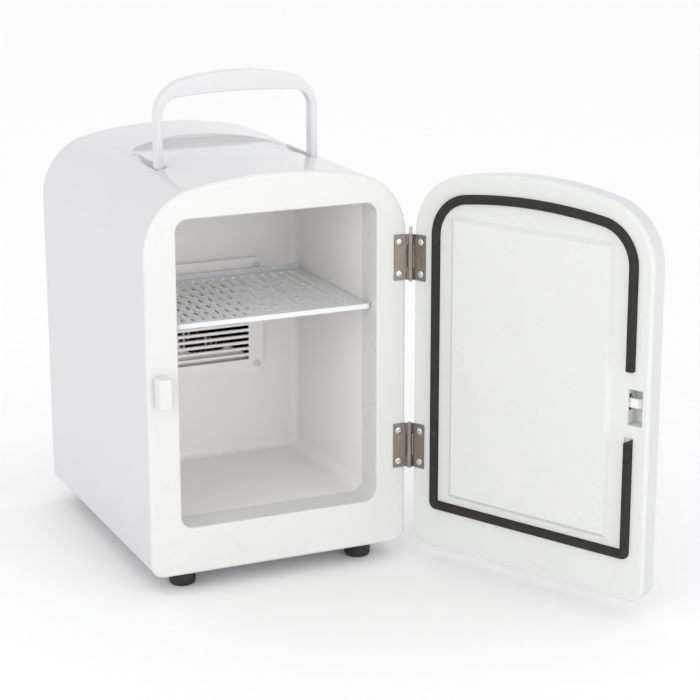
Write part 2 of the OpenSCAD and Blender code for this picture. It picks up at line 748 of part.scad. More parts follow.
// A flat leaf with screw holes, whose knuckle stretches wrap the pin. `side` is 0 for the
// body's leaf, which keeps the middle stretch, and 1 for the door's leaf.
module hinge_leaf(low, side) difference() {
    cuts = knuckle_cuts(low);
    face = side == 0 ? [-leaf_t, 0] : [-door_gap, leaf_t - door_gap];
    keep = side == 0 ? [[cuts[1] + 0.15, cuts[2] - 0.15]] : [[cuts[0], cuts[1]], [cuts[2], cuts[3]]];
    union() {
        block([leaf_x, face[0], low], [hinge_x - 1.85, face[1], low + leaf_h]);
        for (span = keep) {
            block([leaf_x, face[0], span[0]], [hinge_x, face[1], span[1]]);
            translate([hinge_x, hinge_y, span[0]])
                cylinder(r = knuckle_r, h = span[1] - span[0], $fn = 48);
        }
    }
    translate([hinge_x, hinge_y, low - 1])
        cylinder(r = hinge_pin_r + side * hinge_fit, h = leaf_h + 2, $fn = 48);
    for (up = hinge_screw_up) bar_y(hinge_screw_x, low + up, hinge_screw_r, -10, 10);
}

module hinge_pin(low, over) translate([hinge_x, hinge_y, low - over[0]])
    cylinder(r = hinge_pin_r, h = leaf_h + over[0] + over[1], $fn = 48);

module upper_hinge_body_leaf() color([0.5, 0.47, 0.44]) placed() hinge_leaf(upper_hinge_z, 0);
module lower_hinge_body_leaf() color([0.5, 0.47, 0.44]) placed() hinge_leaf(lower_hinge_z, 0);
module upper_hinge_door_leaf() color([0.5, 0.47, 0.44]) on_door() hinge_leaf(upper_hinge_z, 1);
module lower_hinge_door_leaf() color([0.5, 0.47, 0.44]) on_door() hinge_leaf(lower_hinge_z, 1);
module upper_hinge_pin() color([0.7, 0.7, 0.7]) placed() hinge_pin(upper_hinge_z, upper_pin_over);
module lower_hinge_pin() color([0.7, 0.7, 0.7]) placed() hinge_pin(lower_hinge_z, lower_pin_over);

module body_hinge_screws() color([0.75, 0.74, 0.72]) placed()
    for (low = [lower_hinge_z, upper_hinge_z], up = hinge_screw_up)
        translate([hinge_screw_x, -leaf_t, low + up]) screw_y(hinge_screw_r, 2.5, 0.8, 9);

module door_hinge_screws() color([0.75, 0.74, 0.72]) on_door()
    for (low = [lower_hinge_z, upper_hinge_z], up = hinge_screw_up)
        translate([hinge_screw_x, leaf_t - door_gap, low + up]) mirror([0, 1, 0])
            screw_y(hinge_screw_r, 2.5, 0.8, 9);

// ---- Door ----

module door_shell() color([0.9, 0.9, 0.92]) on_door() difference() {
    upright(door_front, -door_gap - panel_edge) body_outline(0);
    upright(door_front + door_skin, 0) body_outline(door_skin);
    block([stem_x[0] - 1, door_front - 1, bolt_z[0] - 1.1],
        [stem_x[1] + latch_travel + 1, door_front + 4, bolt_z[1] + 1.1]);
}

// The gasket's outline, drawn inward by an inset
module gasket_edge(inset)
    arch_outline(gasket_w - 2 * inset, gasket_z[0] + inset, gasket_z[1] - inset,
        gasket_arc - inset, gasket_corner - inset, max(gasket_low_r - inset, 1));

// The raised field in the middle of the inner panel, with sloping edges
module raised_field(face) intersection() {
    top = face + field_rise;
    translate([0, 0, field_z[0]]) linear_extrude(height = field_z[1] - field_z[0])
        polygon([
            [field_x[0], face - 1], [field_x[1], face - 1], [field_x[1], face],
            [field_x[1] - field_run, top], [field_x[0] + field_run, top], [field_x[0], face]]);
    translate([field_x[0], 0, 0]) rotate([0, 90, 0])
        linear_extrude(height = field_x[1] - field_x[0])
            polygon([
                [-field_z[0], face - 1], [-field_z[1], face - 1], [-field_z[1], face],
                [field_run - field_z[1], top], [-field_z[0] - field_run, top], [-field_z[0], face]]);
}

// The gasket's ring, grown by a small amount, over the given depth
module gasket_ring(grow, y0, y1) upright(y0, y1) translate([gasket_mid, 0]) difference() {
    gasket_edge(-grow);
    gasket_edge(gasket_band + grow);
}

module door_inner_panel() color([0.95, 0.95, 0.94]) on_door() {
    face = -door_gap;
    back = face - panel_t;
    difference() {
        union() {
            upright(back, face) body_outline(0);
            upright(face - panel_edge, face) difference() {
                body_outline(0);
                body_outline(panel_t);
            }
            raised_field(face);
            block([slot_x[0] - slot_wall, face - slot_depth - slot_wall, slot_z[0] - slot_wall],
                [slot_x[1] + slot_wall, face - eps, slot_z[1] + slot_wall]);
            for (z = [bolt_z[0] - 2.2, bolt_z[1] + 0.2])
                block([slot_x[1], rail_y, z], [mech_end + 2, back + eps, z + 2]);
            block([mech_end, rail_y, bolt_z[0] - 2.2], [mech_end + 2, back + eps, bolt_z[1] + 2.2]);
            for (z = retainer_screw_z) bar_y(retainer_screw_x, z, 2.6, rail_y, back + eps);
            for (low = [lower_hinge_z, upper_hinge_z], up = hinge_screw_up)
                bar_y(hinge_screw_x, low + up, hinge_boss_r, face - 9, back + eps);
        }
        block([slot_x[0], face - slot_depth, slot_z[0]], [slot_x[1], face + 1, slot_z[1]]);
        block([slot_x[1] - 1, bolt_y[0] - 0.2, bolt_z[0] - 0.2],
            [tail_x[1] - 3, bolt_y[1] + 0.2, bolt_z[1] + 0.2]);
        block([slot_x[1] + 2, rail_y - 1, bolt_z[0] - 0.2], [mech_end, bolt_y[0] + 0.1, bolt_z[1] + 0.2]);
        difference() {
            gasket_ring(groove_fit, gasket_y[0], face + 1);
            block([-half_w, face - 2, groove_gap_z[0]], [-70, face + 2, groove_gap_z[1]]);
        }
        for (low = [lower_hinge_z, upper_hinge_z], up = hinge_screw_up)
            bar_y(hinge_screw_x, low + up, hinge_screw_r, face - 8.2, face + 1);
        for (z = retainer_screw_z)
            bar_y(retainer_screw_x, z, retainer_screw_r, rail_y - 1, rail_y + 3);
    }
}

module door_foam() color([0.98, 0.95, 0.82]) on_door() difference() {
    upright(door_front + door_skin, -door_gap - panel_t) body_outline(door_skin + 0.1);
    block([slot_x[0] - 6, door_front, slot_z[0] - 4], [mech_end + 4, 0, slot_z[1] + 5]);
    for (low = [lower_hinge_z, upper_hinge_z])
        block([hinge_screw_x - 3.2, -door_gap - 9.2, low], [half_w, 0, low + leaf_h]);
}

module door_gasket() color([0.1, 0.1, 0.1]) on_door() difference() {
    gasket_ring(0, gasket_y[0], gasket_y[1]);
    block([-half_w, -10, gasket_gap_z[0]], [-70, 10, gasket_gap_z[1]]);
}

// ---- Latch ----

module latch_bolt() color([0.92, 0.92, 0.92]) on_door() {
    difference() {
        block([bolt_tip, bolt_y[0], bolt_z[0]], [tail_x[0] + bolt_head, bolt_y[1], bolt_z[1]]);
        translate([bolt_tip, bolt_y[0] + bolt_nose, 0]) rotate([0, 0, 38])
            block([-4, 0, 0], [6, 4, crown_z]);
    }
    block([tail_x[0], tail_y, bolt_z[0]], [tail_x[1], bolt_y[0], bolt_z[1]]);
}

module latch_button() color([0.9, 0.9, 0.92]) on_door() {
    block([stem_x[0], door_front - 0.4, bolt_z[0]], [stem_x[1], tail_y, bolt_z[1]]);
    difference() {
        block([stem_x[0] - 4, door_front - 3.4, slot_z[0]],
            [stem_x[1] + 9, door_front - 0.4, slot_z[1] + 2]);
        for (i = [0:4])
            block([stem_x[0] - 1 + i * 4, door_front - 4, slot_z[0] - 1],
                [stem_x[0] + 0.6 + i * 4, door_front - 2.8, slot_z[1] + 3]);
    }
}

// Return spring behind the bolt's tail, at its length with the bolt drawn back
module latch_spring() color("silver") on_door()
    for (turn = [0:5])
        translate([mech_end - 0.5 - turn * 1.25, (tail_y + bolt_y[0]) / 2, (bolt_z[0] + bolt_z[1]) / 2])
            rotate([0, 90, 0]) rotate_extrude($fn = 40) translate([1, 0]) circle(r = 0.3, $fn = 16);

module latch_retainer() color([0.9, 0.9, 0.9]) on_door() difference() {
    union() {
        block([slot_x[1] + 2, rail_y - retainer_t, bolt_z[0] - 2.2],
            [mech_end + 2, rail_y, bolt_z[1] + 2.2]);
        block([retainer_screw_x - 3, rail_y - retainer_t, retainer_screw_z[0] - 3],
            [retainer_screw_x + 3, rail_y, retainer_screw_z[1] + 3]);
    }
    block([stem_x[0] - 0.4, rail_y - 4, bolt_z[0] - 0.4],
        [stem_x[1] + latch_travel + 0.4, rail_y + 1, bolt_z[1] + 0.4]);
    for (z = retainer_screw_z)
        bar_y(retainer_screw_x, z, retainer_screw_r, rail_y - 4, rail_y + 1);
}

module latch_retainer_screws() color("silver") on_door()
    for (z = retainer_screw_z)
        translate([retainer_screw_x, rail_y - retainer_t, z])
            screw_y(retainer_screw_r, 2.2, 1, 4.2);

housing_shell();
front_frame();
door_catch();
liner();
insulation_foam();
inner_grille();
grille_screws();
inner_fan_frame();
inner_fan_rotor();
cold_sink();
spacer_block();
peltier_module();
hot_sink();
heatsink_screws();
rear_fan_frame();
rear_fan_rotor();
rear_fan_screws();
back_cover();
back_cover_screws();
power_board();
power_transformer();
power_capacitors();
board_screws();
ac_inlet();
dc_socket();
mode_switch_body();
mode_switch_rocker();
status_lamps();
feet();
foot_screws();
carry_handle();
handle_pins();
shelf();
upper_hinge_body_leaf();
lower_hinge_body_leaf();
upper_hinge_pin();
lower_hinge_pin();
body_hinge_screws();
upper_hinge_door_leaf();
lower_hinge_door_leaf();
door_hinge_screws();
door_shell();
door_inner_panel();
door_foam();
door_gasket();
latch_bolt();
latch_button();
latch_spring();
latch_retainer();
latch_retainer_screws();
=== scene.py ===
"""Looks of a small arched-top mini fridge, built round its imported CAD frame.

Shapes are drawn in millimetres in the design frame: x = 0 on the body's middle, y = 0 on the
fascia's front face, z = 0 on the floor. The door is drawn shut and then swung open with it.
"""
import json
import math

import bmesh
import bpy
from mathutils import Matrix, Vector

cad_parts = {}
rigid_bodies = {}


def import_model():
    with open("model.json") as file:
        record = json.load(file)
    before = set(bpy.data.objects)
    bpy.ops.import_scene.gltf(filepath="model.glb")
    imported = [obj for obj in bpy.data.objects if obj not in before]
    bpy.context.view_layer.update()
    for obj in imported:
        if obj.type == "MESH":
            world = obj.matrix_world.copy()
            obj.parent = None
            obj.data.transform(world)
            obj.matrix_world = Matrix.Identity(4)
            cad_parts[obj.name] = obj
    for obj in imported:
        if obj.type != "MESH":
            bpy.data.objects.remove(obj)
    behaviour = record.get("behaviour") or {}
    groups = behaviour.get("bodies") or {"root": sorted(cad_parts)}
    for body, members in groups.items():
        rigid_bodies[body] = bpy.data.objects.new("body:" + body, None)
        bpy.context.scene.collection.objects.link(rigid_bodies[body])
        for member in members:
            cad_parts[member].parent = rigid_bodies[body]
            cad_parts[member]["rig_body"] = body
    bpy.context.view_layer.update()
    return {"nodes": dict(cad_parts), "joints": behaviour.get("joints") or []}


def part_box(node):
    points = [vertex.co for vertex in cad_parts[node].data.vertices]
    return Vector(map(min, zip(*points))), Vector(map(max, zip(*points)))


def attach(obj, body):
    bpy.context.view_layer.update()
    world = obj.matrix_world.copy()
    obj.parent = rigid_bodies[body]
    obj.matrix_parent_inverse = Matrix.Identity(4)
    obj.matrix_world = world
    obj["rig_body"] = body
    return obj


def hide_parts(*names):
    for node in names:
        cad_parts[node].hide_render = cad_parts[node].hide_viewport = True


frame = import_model()

# ---- Places from the frame ----

MM = 0.001
FRONT_LOW, FRONT_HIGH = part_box("front_frame")
MID_X = (FRONT_LOW.x + FRONT_HIGH.x) / 2
FASCIA_Y = FRONT_LOW.y
BODY_W = (FRONT_HIGH.x - FRONT_LOW.x) / MM
FLOOR_Z = FRONT_LOW.z / MM
CROWN_Z = FRONT_HIGH.z / MM
COVER_Y = (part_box("housing_shell")[1].y - FASCIA_Y) / MM
JOINT = {j["name"]: j for j in frame["joints"]}
HINGE = Vector(JOINT["door_hinge"]["pos_m"])
DOOR_OPEN = -math.radians(JOINT["door_hinge"]["range_deg"][0])

TO_BODY = Matrix.Translation((MID_X, FASCIA_Y, 0)) @ Matrix.Scale(MM, 4)
SWING = (Matrix.Translation(HINGE) @ Matrix.Rotation(DOOR_OPEN, 4, "Z")
         @ Matrix.Translation(-HINGE))
TO_DOOR = SWING @ TO_BODY

# ---- Sizes in millimetres ----

CROWN_R = 281
CORNER_R = 42.7
BASE_R = 9.3
FLAT_R = 1e5
LEAST_R = 0.2
SEAM = 0.25
WRAP_T = 2.5
SKIN_T = 2.2
FASCIA_T = 3
MOUTH_W, MOUTH_LOW, MOUTH_TOP, MOUTH_R = 142, 45.1, 254, 8.5
COLLAR_BACK = 24
LINER_BACK = 140
DOOR_GAP = 4.2
PANEL_EDGE = 4.5
DOOR_T = 18
FIELD_X = (-65.2, 62)
FIELD_Z = (51.6, 246.8)
FIELD_RISE, FIELD_RUN, FIELD_R = 2.2, 2.8, 1.2
GASKET_MID, GASKET_W, GASKET_LOW, GASKET_TOP = -2.6, 160.4, 40.4, 266.3
GASKET_ARC, GASKET_CORNER, GASKET_FOOT_R = 380, 30, 5.4
GASKET_BAND, GASKET_SLANT = 6.2, 0.55
GASKET_ENDS = (118.6, 166.4)
GROOVE_ENDS, GROOVE_PLAY = (122.4, 166.4), 0.1
SLOT_X = (-89.1, -78.5)
SLOT_Z = (130.9, 154.7)
SLOT_DEPTH, SLOT_WALL = 10.2, 1.3
WINDOW_Y, WINDOW_Z, WINDOW_END = (-9.8, -5.4), (140.2, 151.2), -62
STEM_SLOT_X, STEM_SLOT_Z = (-73, -55.4), (141.1, 149.5)
CATCH_LOW, CATCH_HIGH = (-88.3, -11.2, 132.3), (-79.6, 0, 152.8)
NOTCH_LOW, NOTCH_HIGH = (-87.1, -9, 141.85), (-79, -5.7, 148.75)
SPIGOT_X, SPIGOT_Z = (-87, -80.9), (134.3, 150.8)
RECESS_W, RECESS_FRONT, RECESS_BACK = 106, 68, 160
RECESS_R, RECESS_CORNER = 95, 18
RECESS_FLOOR = CROWN_Z - 5.6
TRAY_T = 1.8
ISLAND_W, ISLAND_R, ISLAND_MID = 100, 58, 50
PIVOT_Y = 74
PIVOT_Z = CROWN_Z - 10.9
WELL_X = (51, 59)
WELL_FRONT = 68.5
WELL_BACK, WELL_DROP, FOLD_RISE = 130.5, 5.5, 11
HANDLE_HALF, LEG_W, HANDLE_T = 58.1, 4.7, 9
GRIP_T, PIN_BORE_R = 14, 2.05
LEAF_T = 0.9
HINGE_SCREW_X = 87.2
HINGE_SCREW_Z = (71.5, 93.5, 203.9, 225.9)
FOOT_X, FOOT_Y = 65, (19.4, 203)
FLAT_ANGLE = math.radians(0.3)

# ---- Camera: millimetres, radians, and metres from the middle of the fascia's foot ----

LENS_MM, SENSOR_MM = 109.6, 36
YAW, PITCH, ROLL = 0.425271, -0.269777, -0.00106
CAMERA_X, CAMERA_Y, CAMERA_Z = -0.518324, -1.257114, 0.523767

# ---- Materials: the span of noise that is used, and the slow clouds' scale ----

NOISE_LOW, NOISE_HIGH = 0.3, 0.7
CLOUD_SCALE = 14


# ---- Mesh tools ----

def arc(cx, cy, r, start, end, steps):
    """Points on an arc, angles in degrees, both ends included."""
    angles = [math.radians(start + (end - start) * i / steps) for i in range(steps + 1)]
    return [(cx + r * math.cos(a), cy + r * math.sin(a)) for a in angles]


def quarter(steps):
    """Angles of a quarter turn in radians, both ends included."""
    return [math.pi / 2 * i / steps for i in range(steps + 1)]


def arch(w, low, crown, arc_r, top_r, low_r, inset=0.0, shift=0.0):
    """Closed outline, anticlockwise from the bottom's middle: small bottom corners, larger top
    corners and one wide arc that runs smoothly into them. The count of points never changes."""
    w, low, crown = w - 2 * inset, low + inset, crown - inset
    arc_r, top_r, low_r = arc_r - inset, max(top_r - inset, LEAST_R), max(low_r - inset, LEAST_R)
    cx = w / 2 - top_r
    arc_y = crown - arc_r
    cy = arc_y + math.sqrt((arc_r - top_r) ** 2 - cx ** 2)
    lean = math.degrees(math.atan2(cy - arc_y, cx))
    foot_x = (w / 2 - low_r) / 2
    quarters = (0.25, 0.5, 0.75)
    points = [(0.0, low), (foot_x, low)]
    points += arc(w / 2 - low_r, low + low_r, low_r, -90, 0, 8)
    points += [(w / 2, low + low_r + (cy - low - low_r) * t) for t in quarters]
    points += arc(cx, cy, top_r, 0, lean, 24)
    points += arc(0, arc_y, arc_r, lean, 180 - lean, 48)[1:-1]
    points += arc(-cx, cy, top_r, 180 - lean, 180, 24)
    points += [(-w / 2, cy + (low + low_r - cy) * t) for t in quarters]
    points += arc(low_r - w / 2, low + low_r, low_r, 180, 270, 8)
    points += [(-foot_x, low)]
    return [(x + shift, y) for x, y in points]


def body_outline(inset):
    return arch(BODY_W, FLOOR_Z, CROWN_Z, CROWN_R, CORNER_R, BASE_R, inset)


def mouth_outline(grow):
    return arch(MOUTH_W, MOUTH_LOW, MOUTH_TOP, FLAT_R, MOUTH_R, MOUTH_R, -grow)


def at_depth(outline, y):
    """An outline drawn in x and z, put at one depth."""
    return [(x, y, z) for x, z in outline]


def at_height(outline, z):
    """An outline drawn in plan, put at one height."""
    return [(x, y, z) for x, y in outline]


def new_mesh(name, verts, faces):
    mesh = bpy.data.meshes.new(name)
    mesh.from_pydata(verts, [], faces)
    obj = bpy.data.objects.new(name, mesh)
    bpy.context.scene.collection.objects.link(obj)
    fix_normals(obj)
    return obj


def fix_normals(obj):
    bm = bmesh.new()
    bm.from_mesh(obj.data)
    bmesh.ops.remove_doubles(bm, verts=bm.verts, dist=1e-4)
    bmesh.ops.recalc_face_normals(bm, faces=bm.faces)
    bm.to_mesh(obj.data)
    bm.free()


def loft(name, rings, closed=False):
    """Joins closed rings of equal length with quads. The two ends are capped, or joined to each
    other when closed, which makes a frame."""
    count = len(rings[0])
    verts = [p for ring in rings for p in ring]
    faces = []
    for r in range(len(rings) if closed else len(rings) - 1):
        a, b = r * count, (r + 1) % len(rings) * count
        for i in range(count):
            j = (i + 1) % count
            faces.append((a + i, a + j, b + j, b + i))
    if not closed:
        faces.append(tuple(reversed(range(count))))
        faces.append(tuple(range(len(verts) - count, len(verts))))
    return new_mesh(name, verts, faces)


def prism(name, outline, z0, z1):
    """A straight solid on a plan, between two heights."""
    return loft(name, [at_height(outline, z) for z in (z0, z1)])


def box(name, low, high):
    """A cutter or core: eight corners, always bevelled or used up by a boolean."""
    plan = [(low[0], low[1]), (high[0], low[1]), (high[0], high[1]), (low[0], high[1])]
    return prism(name, plan, low[2], high[2])


def lathe(name, centre, profile, axis="z", steps=64, closed=False):
    """A turned solid along an axis letter: profile is a list of (radius, height) from one end to
    the other, or all round the section when closed."""
    turn = {"x": lambda u, v, w: (w, u, v), "y": lambda u, v, w: (u, w, v),
            "z": lambda u, v, w: (u, v, w)}[axis]
    rings = []
    for radius, height in profile:
        ring = arc(0, 0, radius, 0, 360 - 360 / steps, steps - 1)
        rings.append([tuple(Vector(centre) + Vector(turn(u, v, height))) for u, v in ring])
    return loft(name, rings, closed)


def rod(name, start, axis, radius, length, steps=48):
    """A round bar along an axis letter, from a start point."""
    return lathe(name, start, [(radius, 0), (radius, length)], axis, steps)


def boolean(obj, cutter, operation="DIFFERENCE"):
    """Applies one exact boolean and deletes the cutter."""
    modifier = obj.modifiers.new("cut", "BOOLEAN")
    modifier.operation = operation
    modifier.solver = "EXACT"
    modifier.object = cutter
    bake(obj)
    bpy.data.objects.remove(cutter)


def bake(obj):
    """Applies every modifier of an object to its mesh."""
    graph = bpy.context.evaluated_depsgraph_get()
    graph.update()
    mesh = bpy.data.meshes.new_from_object(obj.evaluated_get(graph))
    obj.modifiers.clear()
    obj.data = mesh


def join(name, parts):
    """Puts the meshes of several objects into one new object."""
    bm = bmesh.new()
    for part in parts:
        bm.from_mesh(part.data)
    mesh = bpy.data.meshes.new(name)
    bm.to_mesh(mesh)
    bm.free()
    for part in parts:
        bpy.data.objects.remove(part)
    obj = bpy.data.objects.new(name, mesh)
    bpy.context.scene.collection.objects.link(obj)
    return obj


def soften(obj, width, segments=2, angle=40, merge=True):
    """Merges flat triangles, then rounds every edge sharper than the angle."""
    bm = bmesh.new()
    bm.from_mesh(obj.data)
    bmesh.ops.remove_doubles(bm, verts=bm.verts, dist=width * 0.02)
    if merge:
        bmesh.ops.dissolve_limit(bm, angle_limit=FLAT_ANGLE, verts=bm.verts, edges=bm.edges)
    bm.to_mesh(obj.data)
    bm.free()
    bevel = obj.modifiers.new("bevel", "BEVEL")
    bevel.width = width
    bevel.segments = segments
    bevel.limit_method = "ANGLE"
    bevel.angle_limit = math.radians(angle)
    bevel.miter_outer = "MITER_ARC"
    bevel.use_clamp_overlap = True
    bake(obj)


def shade(obj, angle):
    """Smooth shading, with edges sharper than the angle kept crisp."""
    for polygon in obj.data.polygons:
        polygon.use_smooth = True
    bm = bmesh.new()
    bm.from_mesh(obj.data)
    for edge in bm.edges:
        edge.smooth = len(edge.link_faces) != 2 or edge.calc_face_angle(0) < math.radians(angle)
    bm.to_mesh(obj.data)
    bm.free()
    weighted = obj.modifiers.new("normals", "WEIGHTED_NORMAL")
    weighted.keep_sharp = True
    weighted.weight = 60


def finish_piece(obj, body, nodes, material, matrix=TO_BODY, angle=38):
    """Moves a finished mesh to its place in metres, shades it, gives it its material, hangs it on
    the body it rides on and hides the CAD nodes it stands for.
    """
    obj.data.transform(matrix)
    shade(obj, angle)
    obj.data.materials.clear()
    obj.data.materials.append(material)
    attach(obj, body)
    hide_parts(*nodes)


def refine(node, name, width, material):
    """A rounded copy of a CAD node's mesh, which stands for the node. The back cover's plate has
    too many holes for its triangles to be merged."""
    source = frame["nodes"][node]
    obj = bpy.data.objects.new(name, source.data.copy())
    bpy.context.scene.collection.objects.link(obj)
    soften(obj, width * MM, angle=30, merge=node != "back_cover")
    finish_piece(obj, source["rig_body"], [node], material, Matrix.Identity(4))


# ---- Material tools and the materials ----

def node_material(name):
    material = bpy.data.materials.new(name)
    material.use_nodes = True
    tree = material.node_tree
    return material, tree, tree.nodes["Principled BSDF"]


def object_coordinates(tree, stretch=(1, 1, 1)):
    """Object coordinates in metres, stretched for grain."""
    source = tree.nodes.new("ShaderNodeTexCoord")
    mapping = tree.nodes.new("ShaderNodeMapping")
    mapping.inputs["Scale"].default_value = stretch
    tree.links.new(source.outputs["Object"], mapping.inputs["Vector"])
    return mapping.outputs["Vector"]


def noise(tree, vector, scale, detail=3.0, rough=0.55):
    node = tree.nodes.new("ShaderNodeTexNoise")
    node.inputs["Scale"].default_value = scale
    node.inputs["Detail"].default_value = detail
    node.inputs["Roughness"].default_value = rough
    tree.links.new(vector, node.inputs["Vector"])
    return node.outputs["Fac"]


def spread(tree, value, low, high):
    """Maps a noise value onto a range of numbers."""
    node = tree.nodes.new("ShaderNodeMapRange")
    node.inputs["From Min"].default_value = NOISE_LOW
    node.inputs["From Max"].default_value = NOISE_HIGH
    node.inputs["To Min"].default_value = low
    node.inputs["To Max"].default_value = high
    tree.links.new(value, node.inputs["Value"])
    return node.outputs["Result"]


def tint(tree, value, first, second, start=NOISE_LOW, end=NOISE_HIGH):
    """Runs between two colours with a noise value."""
    ramp = tree.nodes.new("ShaderNodeValToRGB")
    ramp.color_ramp.elements[0].position = start
    ramp.color_ramp.elements[1].position = end
    ramp.color_ramp.elements[0].color = (*first, 1)
    ramp.color_ramp.elements[1].color = (*second, 1)
    tree.links.new(value, ramp.inputs["Fac"])
    return ramp.outputs["Color"]


def bump(tree, heights):
    """Chains bumps: each is (height socket, strength, distance in metres)."""
    normal = None
    for height, strength, distance in heights:
        node = tree.nodes.new("ShaderNodeBump")
        node.inputs["Strength"].default_value = strength
        node.inputs["Distance"].default_value = distance
        tree.links.new(height, node.inputs["Height"])
        if normal:
            tree.links.new(normal, node.inputs["Normal"])
        normal = node.outputs["Normal"]
    return normal


def plastic(name, colour, rough, peel=0.006, coat=0.0, vary=0.02, grain=600):
    """Moulded plastic: cloudy colour and gloss, fine orange peel and slow waviness."""
    material, tree, shader = node_material(name)
    vector = object_coordinates(tree)
    cloud = noise(tree, vector, CLOUD_SCALE)
    fine = noise(tree, vector, grain, detail=2)
    darker = tuple(c * (1 - vary) for c in colour)
    gloss = spread(tree, noise(tree, vector, CLOUD_SCALE * 3), rough * 0.85, rough * 1.2)
    relief = bump(tree, [(cloud, 0.03, 0.0003), (fine, peel, 0.00004)])
    tree.links.new(tint(tree, cloud, darker, colour), shader.inputs["Base Color"])
    tree.links.new(gloss, shader.inputs["Roughness"])
    tree.links.new(relief, shader.inputs["Normal"])
    shader.inputs["Coat Weight"].default_value = coat
    shader.inputs["Coat Roughness"].default_value = 0.06
    return material


def rubber(name, colour, rough, pores):
    """Rubber with fine pores and dusty, lighter patches."""
    material, tree, shader = node_material(name)
    vector = object_coordinates(tree)
    dust = noise(tree, vector, 220, detail=5, rough=0.65)
    grit = noise(tree, vector, 2600, detail=5, rough=0.7)
    lighter = tuple(min(1, c * 1.7 + 0.008) for c in colour)
    gloss = spread(tree, dust, rough * 0.9, min(1, rough * 1.15))
    tree.links.new(tint(tree, dust, colour, lighter, start=0.4, end=0.75),
                   shader.inputs["Base Color"])
    tree.links.new(gloss, shader.inputs["Roughness"])
    tree.links.new(bump(tree, [(grit, pores, 0.00008)]), shader.inputs["Normal"])
    shader.inputs["Specular IOR Level"].default_value = 0.35
    return material


def metal(name, colour, rough, stretch=(1, 1, 1)):
    """Metal with grain along one axis, stains and uneven gloss."""
    material, tree, shader = node_material(name)
    shader.inputs["Metallic"].default_value = 1.0
    lines = noise(tree, object_coordinates(tree, stretch), 900, detail=5, rough=0.6)
    stain = noise(tree, object_coordinates(tree), 300, detail=4)
    darker = tuple(c * 0.72 for c in colour)
    tree.links.new(tint(tree, lines, darker, colour), shader.inputs["Base Color"])
    tree.links.new(spread(tree, stain, rough * 0.7, rough * 1.4), shader.inputs["Roughness"])
    tree.links.new(bump(tree, [(lines, 0.25, 0.00004)]), shader.inputs["Normal"])
    return material


def speckled(name, first, second, rough, scale, strength):
    """Foam or board: two colours in small cells."""
    material, tree, shader = node_material(name)
    vector = object_coordinates(tree)
    cells = tree.nodes.new("ShaderNodeTexVoronoi")
    cells.inputs["Scale"].default_value = scale
    tree.links.new(vector, cells.inputs["Vector"])
    distance = cells.outputs["Distance"]
    gloss = spread(tree, noise(tree, vector, scale), rough * 0.85, min(1, rough * 1.15))
    tree.links.new(tint(tree, distance, first, second, start=0.1, end=0.8),
                   shader.inputs["Base Color"])
    tree.links.new(gloss, shader.inputs["Roughness"])
    tree.links.new(bump(tree, [(distance, strength, 0.0002)]), shader.inputs["Normal"])
    return material


LOOK = {
    "housing": plastic("housing_plastic", (0.63, 0.63, 0.655), 0.15, coat=0.35),
    "fascia": plastic("fascia_plastic", (0.73, 0.73, 0.715), 0.3),
    "collar": plastic("collar_plastic", (0.80, 0.80, 0.79), 0.22, coat=0.2),
    "liner": plastic("liner_plastic", (0.9, 0.89, 0.87), 0.42, peel=0.02),
    "panel": plastic("panel_plastic", (0.73, 0.74, 0.72), 0.3),
    "handle": plastic("handle_plastic", (0.68, 0.675, 0.71), 0.14, coat=0.35),
    "latch": plastic("latch_plastic", (0.82, 0.82, 0.82), 0.3),
    "black": plastic("black_plastic", (0.02, 0.02, 0.021), 0.4, peel=0.15, vary=0.2,
                     grain=2200),
    "fan": plastic("fan_plastic", (0.025, 0.025, 0.027), 0.35, peel=0.12, vary=0.2,
                   grain=2200),
    "switch": plastic("switch_plastic", (0.5, 0.025, 0.015), 0.22, peel=0.05, coat=0.3),
    "lamp": plastic("lamp_plastic", (0.2, 0.55, 0.12), 0.12, peel=0.02, coat=0.5),
    "parts": plastic("sleeve_plastic", (0.05, 0.05, 0.13), 0.25, peel=0.05, coat=0.2),
    "winding": plastic("winding_tape", (0.7, 0.5, 0.08), 0.35, peel=0.1),
    "ceramic": plastic("ceramic", (0.85, 0.85, 0.82), 0.55, peel=0.1),
    "shelf": plastic("shelf_plastic", (0.78, 0.79, 0.81), 0.3),
    "foot": rubber("foot_rubber", (0.021, 0.019, 0.016), 0.6, pores=0.12),
    "gasket": rubber("gasket_rubber", (0.021, 0.018, 0.014), 0.8, pores=0.2),
    "hinge": metal("hinge_steel", (0.33, 0.3, 0.265), 0.34, stretch=(1, 1, 0.08)),
    "pin": metal("pin_steel", (0.62, 0.6, 0.57), 0.24, stretch=(1, 1, 0.1)),
    "screw": metal("screw_steel", (0.8, 0.77, 0.72), 0.22),
    "aluminium": metal("sink_aluminium", (0.76, 0.77, 0.79), 0.34, stretch=(1, 0.1, 0.1)),
    "foam": speckled("pu_foam", (0.72, 0.66, 0.42), (0.85, 0.8, 0.58), 0.85, scale=700,
                      strength=0.6),
    "board": speckled("board_green", (0.02, 0.13, 0.05), (0.03, 0.2, 0.08), 0.3, scale=900,
                       strength=0.1),
}


# ---- Camera, light and floor ----

